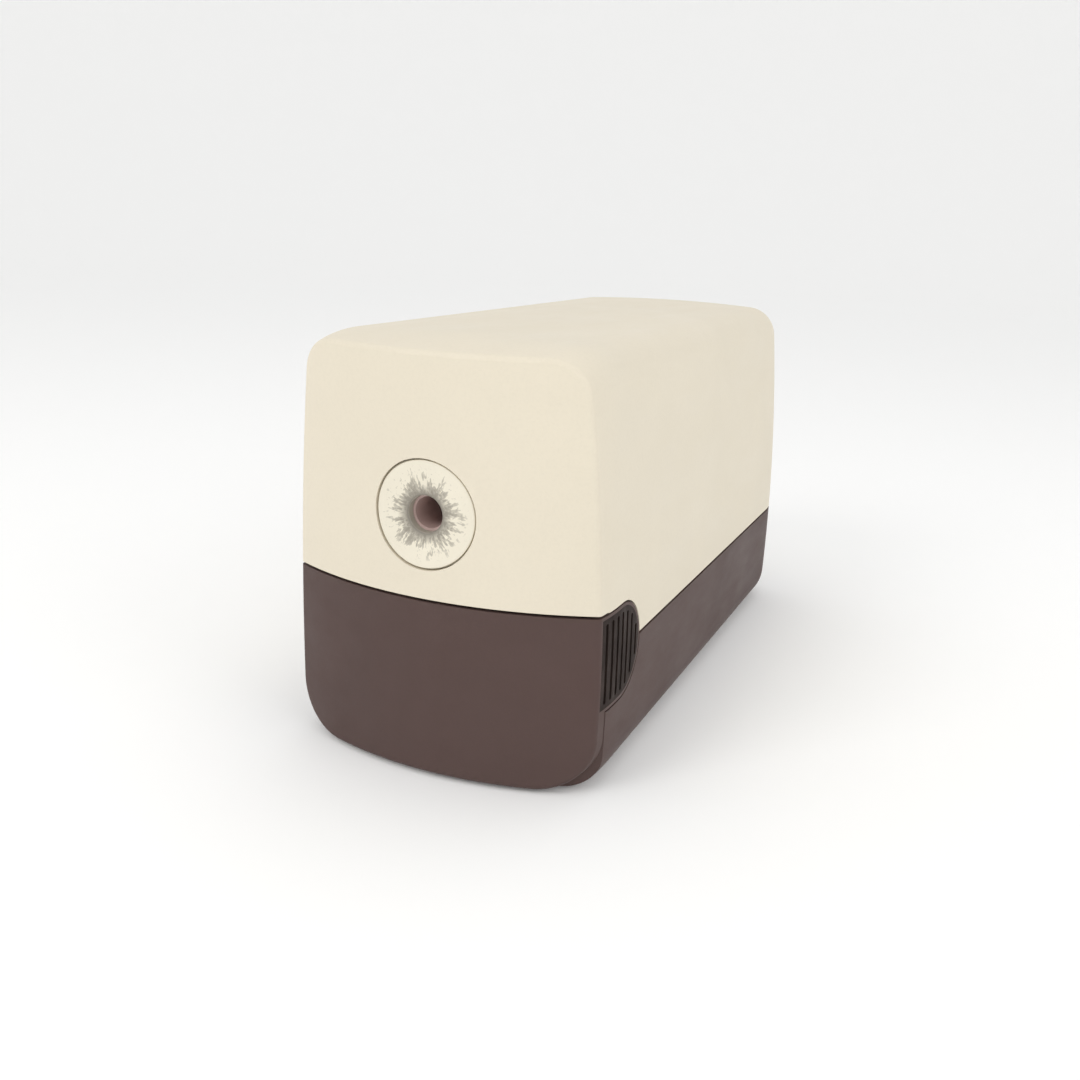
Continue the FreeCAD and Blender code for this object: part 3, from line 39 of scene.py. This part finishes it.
# ---- procedural materials ----------------------------------------------------------------------
class Look:
    """One procedural material. Its textures lie in the part's own coordinates, in metres."""

    def __init__(self, name, roughness=0.5, metallic=0.0, **sockets):
        self.material = bpy.data.materials.new(name)
        self.material.use_nodes = True
        self.tree = self.material.node_tree
        self.shader = self.tree.nodes["Principled BSDF"]
        self.place = self.make("TexCoord").outputs["Object"]
        self.split = None
        self.set(self.shader, Roughness=roughness, Metallic=metallic)
        for socket, value in sockets.items():
            self.shader.inputs[socket.replace("_", " ")].default_value = value

    def make(self, kind, **settings):
        node = self.tree.nodes.new("ShaderNode" + kind)
        for key, value in settings.items():
            setattr(node, key, value)
        return node

    def set(self, node, **values):
        for key, value in values.items():
            self.plug(node.inputs[key.replace("_", " ")], value)

    def plug(self, socket, value):
        if isinstance(value, bpy.types.NodeSocket):
            self.tree.links.new(value, socket)
        else:
            socket.default_value = value

    def axis(self, letter):
        if self.split is None:
            self.split = self.make("SeparateXYZ")
            self.plug(self.split.inputs[0], self.place)
        return self.split.outputs[letter]

    def math(self, operation, a, b=0.0, clamp=False):
        node = self.make("Math", operation=operation, use_clamp=clamp)
        self.plug(node.inputs[0], a)
        self.plug(node.inputs[1], b)
        return node.outputs[0]

    def stretched(self, factors):
        node = self.make("Mapping")
        self.plug(node.inputs["Vector"], self.place)
        node.inputs["Scale"].default_value = factors
        return node.outputs["Vector"]

    def noise(self, size, detail=2.0, rough=0.5, vector=None, warp=0.0):
        """Noise whose features are about size metres across."""
        node = self.make("TexNoise")
        self.set(node, Vector=vector or self.place, Scale=1.0 / size)
        self.set(node, Detail=detail, Roughness=rough, Distortion=warp)
        return node.outputs["Fac"]

    def cells(self, size, feature="F1", output="Distance"):
        node = self.make("TexVoronoi", feature=feature)
        self.set(node, Vector=self.place, Scale=1.0 / size)
        return node.outputs[output]

    def ramp(self, value, stops):
        node = self.make("ValToRGB")
        elements = node.color_ramp.elements
        while len(elements) < len(stops):
            elements.new(0.5)
        for element, (position, colour) in zip(elements, stops):
            element.position, element.color = position, colour
        self.plug(node.inputs[0], value)
        return node.outputs["Color"]

    def spread(self, value, low, high, start=0.0, end=1.0):
        """Maps value from start..end to low..high."""
        node = self.make("MapRange")
        self.set(node, Value=value)
        for key, number in (("From Min", start), ("From Max", end), ("To Min", low), ("To Max", high)):
            node.inputs[key].default_value = number
        return node.outputs["Result"]

    def mix(self, amount, a, b, blend="MIX"):
        node = self.make("Mix", data_type="RGBA", blend_type=blend)
        self.plug(node.inputs[0], amount)
        self.plug(node.inputs[6], a)
        self.plug(node.inputs[7], b)
        return node.outputs[2]

    def bump(self, height, depth, strength=1.0, normal=None):
        """Relief of up to depth metres."""
        node = self.make("Bump")
        self.set(node, Height=height, Distance=depth, Strength=strength)
        if normal is not None:
            self.set(node, Normal=normal)
        return node.outputs["Normal"]

    def pencil_dust(self, low, high, bow, soft=0.0004, deep=0.012):
        """Cover of graphite dust inside a box with a front bowed to the radius bow, thickest on its
        floor and patchy up its walls."""
        ahead = self.math("SUBTRACT", low[1] + bow, self.axis("Y"))
        out = self.math("SQRT", self.math("ADD", self.math("MULTIPLY", ahead, ahead),
                                          self.math("MULTIPLY", self.axis("X"), self.axis("X"))))
        cover = self.spread(out, 1.0, 0.0, bow - soft, bow)
        for axis in range(3):
            middle, half = (low[axis] + high[axis]) / 2, (high[axis] - low[axis]) / 2
            away = self.math("ABSOLUTE", self.math("SUBTRACT", self.axis("XYZ"[axis]), middle))
            cover = self.math("MULTIPLY", cover, self.spread(away, 1.0, 0.0, half - soft, half))
        patch = self.spread(self.noise(0.014, 5.0, 0.68, warp=0.5), 0.1, 0.95, 0.38, 0.62)
        settled = self.spread(self.axis("Z"), 1.0, 0.3, low[2] + deep / 2, low[2] + 2 * deep)
        return self.math("MULTIPLY", self.math("MULTIPLY", patch, settled), cover, clamp=True)

    def paint(self, colour=None, roughness=None, normal=None):
        for socket, value in (("Base Color", colour), ("Roughness", roughness), ("Normal", normal)):
            if value is not None:
                self.plug(self.shader.inputs[socket], value)
        return self.material


def moulded(name, colour, roughness, grain=0.00055, relief=0.00003, mottle=0.035, dusty=None, **sockets):
    """Injection-moulded plastic with a spark-eroded grain, faint flow marks and light handling wear,
    and pencil dust inside the box dusty."""
    look = Look(name, **sockets)
    cloud = look.noise(0.045, 3.0, 0.55, warp=0.6)
    tone = look.ramp(cloud, [(0.3, shade(colour, 1 - mottle)), (0.7, shade(colour, 1 + mottle))])
    fleck = look.noise(grain * 1.6, 2.0)
    tone = look.mix(look.spread(fleck, 0.0, 0.10, 0.42, 0.72), tone, shade(colour, 0.80))
    rub = look.noise(0.012, 4.0, 0.62, look.stretched((1.0, 0.35, 1.0)))
    gloss = look.spread(rub, roughness - 0.07, roughness + 0.07, 0.3, 0.7)
    if dusty:
        dust = look.pencil_dust(*dusty)
        tone = look.mix(dust, tone, srgb(66, 62, 60))
        chips = look.spread(look.noise(0.0016, 2.0, 0.6), 0.0, 1.0, 0.62, 0.66)
        crumb = look.math("MULTIPLY", chips, dust, clamp=True)
        tone = look.mix(crumb, tone, srgb(186, 150, 104))
        gloss = look.mix(dust, gloss, (0.85, 0.85, 0.85, 1.0))
    coarse = look.bump(look.noise(0.009, 2.0), 0.00006, 0.35)
    fine = look.bump(look.noise(grain, 3.0, 0.6), relief, 0.8, coarse)
    return look.paint(tone, gloss, fine)


GRAPHITE = srgb(88, 81, 74)


def guide_plate(name, colour, hole_radius):
    """Moulded plate with streaks of graphite that pencil points have left round the hole."""
    look = Look(name, Specular_IOR_Level=0.45)
    low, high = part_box("pencil_guide_disc")
    centre = (low + high) / 2
    dx = look.math("SUBTRACT", look.axis("X"), centre.x)
    dz = look.math("SUBTRACT", look.axis("Z"), centre.z)
    squares = look.math("ADD", look.math("MULTIPLY", dx, dx), look.math("MULTIPLY", dz, dz))
    radius = look.math("SQRT", squares)
    # noise over the direction from the centre gives rays, and a little of the radius bends them
    beam = look.make("CombineXYZ")
    look.plug(beam.inputs[0], look.math("DIVIDE", dx, radius))
    look.plug(beam.inputs[1], look.math("DIVIDE", dz, radius))
    look.plug(beam.inputs[2], look.math("MULTIPLY", radius, 40.0))
    rays = look.noise(0.15, 2.0, 0.8, beam.outputs[0])
    lobes = look.noise(0.5, 2.0, 0.6, beam.outputs[0])
    ray_reach = look.spread(rays, 0.0004, 0.0074, 0.34, 0.64)
    lobe_reach = look.spread(lobes, -0.0010, 0.0010, 0.3, 0.7)
    reach = look.math("MAXIMUM", look.math("ADD", ray_reach, lobe_reach), 0.0003)
    beyond = look.math("SUBTRACT", radius, hole_radius)
    fade = look.math("SUBTRACT", 1.0, look.math("DIVIDE", beyond, reach), clamp=True)
    crumbs = look.spread(look.noise(0.0009, 3.0, 0.7), 0.6, 1.0, 0.36, 0.52)
    smear = look.math("MULTIPLY", look.math("POWER", fade, 0.42), crumbs, clamp=True)
    halo = look.spread(beyond, 0.9, 0.0, 0.0, 0.0030)
    dirt = look.math("MAXIMUM", look.math("MULTIPLY", smear, 0.80), halo, clamp=True)
    dots = look.spread(look.noise(0.0007, 2.0, 0.6), 0.0, 1.0, 0.63, 0.70)
    specks = look.math("MULTIPLY", dots, 0.5, clamp=True)
    specks = look.math("MULTIPLY", specks, look.spread(beyond, 1.0, 0.0, 0.0035, 0.0085), clamp=True)
    # the hole's own wall stays almost clean
    outside_hole = look.spread(beyond, 0.12, 1.0, -0.0003, 0.0002)
    dirt = look.math("MULTIPLY", look.math("MAXIMUM", dirt, specks), outside_hole, clamp=True)
    cloud = look.noise(0.02, 3.0)
    tone = look.ramp(cloud, [(0.3, shade(colour, 0.965)), (0.7, shade(colour, 1.02))])
    tone = look.mix(dirt, tone, GRAPHITE)
    gloss = look.spread(dirt, 0.36, 0.55)
    fine = look.bump(look.noise(0.0004, 3.0), 0.00002, 0.6)
    return look.paint(tone, gloss, fine)


def grip_rib(name, colour):
    """Near-black moulding whose ribs are rubbed lighter and shinier by fingers."""
    look = Look(name, Specular_IOR_Level=0.12)
    rub = look.noise(0.004, 4.0, 0.6, look.stretched((1.0, 1.0, 0.4)))
    tone = look.ramp(rub, [(0.3, shade(colour, 0.75)), (0.55, colour), (0.78, shade(colour, 1.45))])
    fine = look.bump(look.noise(0.0005, 3.0), 0.00004, 0.8)
    return look.paint(tone, look.spread(rub, 0.68, 0.5, 0.3, 0.7), fine)


def rubber(name, colour):
    """Moulded rubber with a dusty bloom."""
    look = Look(name, Specular_IOR_Level=0.3)
    bloom = look.noise(0.003, 5.0, 0.7)
    tone = look.ramp(bloom, [(0.35, colour), (0.7, shade(colour, 2.2))])
    fine = look.bump(look.noise(0.0006, 3.0, 0.7), 0.00005, 0.9)
    return look.paint(tone, look.spread(bloom, 0.72, 0.92), fine)


def filled_nylon(name, colour):
    """Glass-filled nylon: short pale fibres lie in the surface."""
    look = Look(name)
    fibre = look.noise(0.0012, 2.0, 0.5, look.stretched((1.0, 0.16, 1.0)), warp=0.4)
    cloud = look.noise(0.03, 3.0)
    tone = look.ramp(cloud, [(0.3, shade(colour, 0.85)), (0.7, shade(colour, 1.12))])
    tone = look.mix(look.spread(fibre, 0.0, 0.28, 0.58, 0.72), tone, srgb(122, 122, 122))
    return look.paint(tone, look.spread(fibre, 0.66, 0.46), look.bump(fibre, 0.00003, 0.7))


def acetal(name, colour):
    """Natural engineering plastic with grease and a little graphite in its hollows."""
    look = Look(name, Subsurface_Weight=0.06, Subsurface_Scale=0.002)
    smear = look.noise(0.006, 4.0, 0.65, warp=0.8)
    tone = look.ramp(smear, [(0.42, colour), (0.72, shade(colour, 0.72))])
    fine = look.bump(look.noise(0.0009, 3.0), 0.00002, 0.6)
    return look.paint(tone, look.spread(smear, 0.42, 0.24, 0.35, 0.7), fine)


def cast_metal(name, colour):
    """Die-cast zinc: a soft cloudy skin with fine pits."""
    look = Look(name, metallic=1.0)
    cloud = look.noise(0.007, 5.0, 0.7)
    tone = look.ramp(cloud, [(0.3, shade(colour, 0.72)), (0.7, shade(colour, 1.08))])
    pits = look.spread(look.cells(0.0014), 0.0, 1.0, 0.0, 0.28)
    coarse = look.bump(pits, 0.00004, 0.5)
    fine = look.bump(look.noise(0.0005, 3.0), 0.00003, 0.6, coarse)
    return look.paint(tone, look.spread(cloud, 0.56, 0.38), fine)


def turned_metal(name, colour, roughness=0.3, line=0.00018):
    """Turned or drawn metal: fine lines round the part and a thin film of oil."""
    look = Look(name, metallic=1.0)
    lines = look.noise(line, 2.0, 0.5, look.stretched((0.12, 1.0, 0.12)))
    stain = look.noise(0.003, 4.0, 0.6)
    tone = look.ramp(stain, [(0.35, shade(colour, 0.8)), (0.65, shade(colour, 1.05))])
    gloss = look.spread(lines, roughness - 0.08, roughness + 0.12)
    return look.paint(tone, gloss, look.bump(lines, 0.000012, 0.7))


def ground_cutter(name, colour):
    """Hardened steel with straw and blue temper tints and graphite dust."""
    look = Look(name, metallic=1.0)
    tint = look.noise(0.005, 3.0, 0.6, warp=1.0)
    straw, blue = srgb(142, 124, 96), srgb(92, 98, 118)
    tone = look.ramp(tint, [(0.3, shade(colour, 0.7)), (0.5, colour), (0.68, straw), (0.85, blue)])
    lines = look.noise(0.00015, 2.0, 0.5, look.stretched((1.0, 0.1, 1.0)))
    return look.paint(tone, look.spread(tint, 0.28, 0.5), look.bump(lines, 0.00001, 0.6))


def laminations(name, colour, pitch=0.0005):
    """Stacked electrical steel, one sheet every pitch metres along Y, varnished unevenly, with painted
    shade in the grooves between sheets.
    """
    look = Look(name, metallic=0.85)
    wave = look.math("SINE", look.math("MULTIPLY", look.axis("Y"), 2 * math.pi / pitch))
    groove = look.spread(wave, 0.0, 1.0, -1.0, -0.4)
    sheet = look.noise(pitch * 1.5, 1.0, 0.5, look.stretched((0.002, 1.0, 0.002)))
    rust = look.noise(0.006, 5.0, 0.7, look.stretched((1.0, 0.6, 1.0)))
    tone = look.ramp(sheet, [(0.3, shade(colour, 0.7)), (0.7, shade(colour, 1.3))])
    tone = look.mix(look.spread(rust, 0.0, 0.35, 0.58, 0.75), tone, srgb(104, 76, 58))
    # painted shade: the colour mixes towards a quarter of its tone along the groove between sheets
    tone = look.mix(look.spread(groove, 0.55, 0.0), tone, shade(colour, 0.25))
    return look.paint(tone, look.spread(rust, 0.38, 0.62), look.bump(groove, 0.00006, 0.8))


def plated_sheet(name, colour):
    """Zinc-plated sheet steel with its crystal spangle."""
    look = Look(name, metallic=1.0)
    crystal = look.cells(0.0065, output="Color")
    grey = look.make("RGBToBW")
    look.plug(grey.inputs[0], crystal)
    tone = look.ramp(grey.outputs[0], [(0.2, shade(colour, 0.82)), (0.8, shade(colour, 1.08))])
    rolled = look.noise(0.0005, 2.0, 0.5, look.stretched((1.0, 0.06, 1.0)))
    return look.paint(tone, look.spread(grey.outputs[0], 0.3, 0.46), look.bump(rolled, 0.000015, 0.6))


def wound_wire(name, colour, pitch=0.00036):
    """Layers of enamelled wire wound round the X axis, under a clear varnish, with painted shade between
    the turns.
    """
    look = Look(name, metallic=0.9, Coat_Weight=0.5, Coat_Roughness=0.18)
    wobble = look.math("MULTIPLY", look.noise(0.004, 2.0), pitch * 1.6)
    along = look.math("ADD", look.axis("X"), wobble)
    turns = look.math("ABSOLUTE", look.math("SINE", look.math("MULTIPLY", along, math.pi / pitch)))
    strand = look.noise(pitch * 1.7, 1.0, 0.5, look.stretched((1.0, 0.03, 0.03)))
    tone = look.ramp(strand, [(0.3, shade(colour, 0.7)), (0.7, shade(colour, 1.25))])
    # painted shade: the colour mixes towards a fifth of its tone in the crevice between neighbouring turns
    tone = look.mix(look.spread(turns, 0.75, 0.0, 0.0, 0.5), tone, shade(colour, 0.18))
    return look.paint(tone, look.spread(strand, 0.26, 0.4), look.bump(turns, 0.00012, 0.9))


def sintered(name, colour):
    """Porous oil-filled bronze."""
    look = Look(name, metallic=1.0)
    pores = look.spread(look.noise(0.00035, 4.0, 0.8), 0.0, 1.0, 0.36, 0.52)
    tone = look.mix(pores, shade(colour, 0.35), colour)
    return look.paint(tone, look.spread(pores, 0.7, 0.38), look.bump(pores, 0.00004, 0.8))


def foil_label(name, colour):
    """Silver-grey foil label, blank but for a printed frame line."""
    look = Look(name, metallic=0.6)
    low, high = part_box("rating_label")
    centre, half = (low + high) / 2, (high - low) / 2
    margins = []
    for axis, middle, size in (("X", centre.x, half.x), ("Y", centre.y, half.y)):
        away = look.math("ABSOLUTE", look.math("SUBTRACT", look.axis(axis), middle))
        margins.append(look.math("SUBTRACT", size - 0.0016, away))
    inside = look.math("MINIMUM", *margins)
    line = look.math("LESS_THAN", look.math("ABSOLUTE", inside), 0.00018)
    brushed = look.noise(0.0004, 2.0, 0.5, look.stretched((0.05, 1.0, 1.0)))
    tone = look.ramp(brushed, [(0.3, shade(colour, 0.85)), (0.7, shade(colour, 1.08))])
    tone = look.mix(line, tone, srgb(52, 52, 54))
    return look.paint(tone, look.spread(brushed, 0.28, 0.42), look.bump(brushed, 0.00001, 0.5))


BEIGE, BROWN = srgb(225, 216, 197), srgb(81, 63, 59)
drawer_low, drawer_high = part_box("shavings_drawer")
tray_low = (drawer_low.x + 0.0090, drawer_low.y + 0.0027, drawer_low.z + 0.0055)
tray_high = (drawer_high.x - 0.0090, drawer_high.y - 0.0012, drawer_high.z + 0.0050)
TRAY_BOW = 0.1013        # radius of the drawer front's inner face, and a little of its thickness
HOLE_RADIUS = 0.0049

LOOKS = {
    "housing": moulded("housing_look", BEIGE, 0.50, mottle=0.015, Specular_IOR_Level=0.35),
    "base": moulded("base_look", BROWN, 0.54, mottle=0.05, Specular_IOR_Level=0.3),
    "tray": moulded("tray_look", BROWN, 0.54, mottle=0.05, dusty=(tray_low, tray_high, TRAY_BOW),
                    Specular_IOR_Level=0.3),
    "guide": guide_plate("guide_look", srgb(230, 223, 205), HOLE_RADIUS),
    "grip": grip_rib("grip_look", srgb(46, 36, 32)),
    # the guide tube is dark plastic, but its colour is painted much lighter, as painted light inside the
    # deep hole
    "dark_tube_painted_light": moulded("dark_tube_painted_light_look", srgb(194, 168, 162), 0.42, grain=0.0004, mottle=0.08),
    "rubber": rubber("rubber_look", srgb(34, 33, 33)),
    "frame": filled_nylon("frame_look", srgb(60, 60, 62)),
    "gear": acetal("gear_look", srgb(224, 218, 200)),
    "switch": moulded("switch_look", srgb(40, 40, 42), 0.34, grain=0.0003, mottle=0.1),
    "bobbin": acetal("bobbin_look", srgb(214, 206, 184)),
    "zinc": cast_metal("zinc_look", srgb(172, 174, 176)),
    "steel": turned_metal("steel_look", srgb(182, 184, 186)),
    "bolt": turned_metal("bolt_look", srgb(196, 194, 184), 0.36, 0.00028),
    "cutter": ground_cutter("cutter_look", srgb(126, 128, 132)),
    "core": laminations("core_look", srgb(104, 104, 108)),
    "cradle": plated_sheet("cradle_look", srgb(190, 192, 194)),
    "wire": wound_wire("wire_look", srgb(186, 102, 60)),
    "copper": turned_metal("copper_look", srgb(196, 124, 84), 0.34, 0.0004),
    "bronze": sintered("bronze_look", srgb(172, 130, 80)),
    "label": foil_label("label_look", srgb(190, 190, 186)),
}

WEARS = {
    "housing": ["upper_housing"],
    "base": ["lower_base"],
    "tray": ["shavings_drawer"],
    "guide": ["pencil_guide_disc"],
    "grip": ["grip_inlay_left", "grip_inlay_right"],
    "dark_tube_painted_light": ["pencil_guide_tube"],
    "rubber": ["foot_front_left", "foot_front_right", "foot_rear_left", "foot_rear_right",
               "cord_gland", "cradle_grommets"],
    "frame": ["mechanism_deck", "front_bulkhead", "cutter_shroud", "gearcase_front"],
    "gear": ["start_lever", "switch_button", "drive_gear", "cluster_gear"],
    "switch": ["switch_body", "cooling_fan"],
    "bobbin": ["coil_bobbin"],
    "zinc": ["ring_gear", "cutter_carrier", "motor_bracket_front", "motor_bracket_rear"],
    "steel": ["lever_pin", "lever_clip", "lever_spring", "cutter_pin", "cluster_pin", "motor_shaft",
              "motor_pinion", "motor_spacers"],
    "bolt": ["switch_screws", "motor_bolts", "core_bolts", "core_nuts", "cradle_screws",
             "housing_screws", "deck_screws", "bulkhead_screws", "case_foot_screws",
             "gearcase_screws", "ring_gear_screws"],
    "cutter": ["helical_cutter", "cutter_pinion"],
    "core": ["stator_stack", "motor_rotor"],
    "cradle": ["motor_cradle", "gearcase_rear"],
    "wire": ["coil_winding"],
    "copper": ["shading_rings", "switch_terminals"],
    "bronze": ["carrier_bush", "motor_bearing_front", "motor_bearing_rear"],
    "label": ["rating_label"],
}


def dress():
    """Gives every CAD node its material."""
    worn = {name: look for look, names in WEARS.items() for name in names}
    for name, node in nodes.items():
        node.data.materials.clear()
        node.data.materials.append(LOOKS[worn[name]])


# ---- camera, light and stage -------------------------------------------------------------------
FOCAL = 1076.09 / 1080 * 36.0
AZIMUTH, ELEVATION, ROLL = 23.781, 16.453, 2.132
DISTANCE, SHIFT_RIGHT, SHIFT_UP = 0.367246, -0.012299, -0.017488
AIM = Vector((0, -0.0035, 0.059))


def make_camera():
    a, e, r = (math.radians(v) for v in (AZIMUTH, ELEVATION, ROLL))
    back = Vector((math.sin(a) * math.cos(e), -math.cos(a) * math.cos(e), math.sin(e)))
    level = Vector((math.cos(a), math.sin(a), 0))
    upright = back.cross(level)
    right = level * math.cos(r) + upright * math.sin(r)
    up = upright * math.cos(r) - level * math.sin(r)
    data = bpy.data.cameras.new("camera")
    data.lens, data.sensor_width = FOCAL, 36.0
    data.clip_start, data.clip_end = 0.01, 20.0
    camera = bpy.data.objects.new("camera", data)
    place = AIM + back * DISTANCE + right * SHIFT_RIGHT + up * SHIFT_UP
    turn = Matrix((right, up, back)).transposed().to_4x4()
    camera.matrix_world = Matrix.Translation(place) @ turn
    bpy.context.scene.collection.objects.link(camera)
    bpy.context.scene.camera = camera


def area_light(name, place, aim, size, power, colour=(1.0, 1.0, 1.0)):
    data = bpy.data.lights.new(name, "AREA")
    data.shape, data.size, data.energy, data.color = "DISK", size, power, colour
    light = bpy.data.objects.new(name, data)
    light.location = place
    light.rotation_mode = "QUATERNION"
    light.rotation_quaternion = (Vector(aim) - Vector(place)).to_track_quat("-Z", "Y")
    bpy.context.scene.collection.objects.link(light)


def make_stage():
    """Even light from all round, and a pale floor that curves up into a low wall, so no horizon shows."""
    world = bpy.data.worlds.new("studio")
    world.use_nodes = True
    world.node_tree.nodes["Background"].inputs["Color"].default_value = (1.0, 1.0, 1.0, 1.0)
    world.node_tree.nodes["Background"].inputs["Strength"].default_value = 0.84
    bpy.context.scene.world = world
    bpy.context.scene.view_settings.view_transform = "Standard"
    area_light("key", (-0.35, -0.85, 0.75), (0, -0.02, 0.05), 0.5, 2.7, (1.0, 0.99, 0.97))
    area_light("fill", (0.85, -0.25, 0.55), (0, 0, 0.05), 0.6, 1.3)
    area_light("top", (0.1, 0.2, 1.0), (0, 0, 0.1), 0.6, 0.3)
    flat, bend, wall, turns, arc = 2.0, 1.0, 1.6, 96, 12
    profile = [(0.02, 0.0), (0.4, 0.0), (flat, 0.0)]
    for step in range(1, arc + 1):
        a = step * math.pi / 2 / arc
        profile.append((flat + bend * math.sin(a), bend - bend * math.cos(a)))
    profile.append((flat + bend, wall))
    circle = [(math.cos(2 * math.pi * i / turns), math.sin(2 * math.pi * i / turns)) for i in range(turns)]
    verts = [(0.0, 0.0, 0.0)]
    faces = []
    for radius, height in profile:
        verts += [(radius * x, radius * y, height) for x, y in circle]
    for i in range(turns):
        j = (i + 1) % turns
        faces.append((0, 1 + i, 1 + j))
        for ring in range(len(profile) - 1):
            a, b = 1 + ring * turns, 1 + (ring + 1) * turns
            faces.append((a + i, b + i, b + j, a + j))
    mesh = bpy.data.meshes.new("floor")
    mesh.from_pydata(verts, [], faces)
    mesh.shade_smooth()
    floor = bpy.data.objects.new("floor", mesh)
    bpy.context.scene.collection.objects.link(floor)
    material = bpy.data.materials.new("floor")
    material.use_nodes = True
    shader = material.node_tree.nodes["Principled BSDF"]
    shader.inputs["Base Color"].default_value = (0.92, 0.92, 0.915, 1.0)
    shader.inputs["Roughness"].default_value = 0.8
    shader.inputs["Emission Color"].default_value = (1.0, 1.0, 1.0, 1.0)
    shader.inputs["Emission Strength"].default_value = 0.07
    mesh.materials.append(material)


dress()
make_camera()
make_stage()
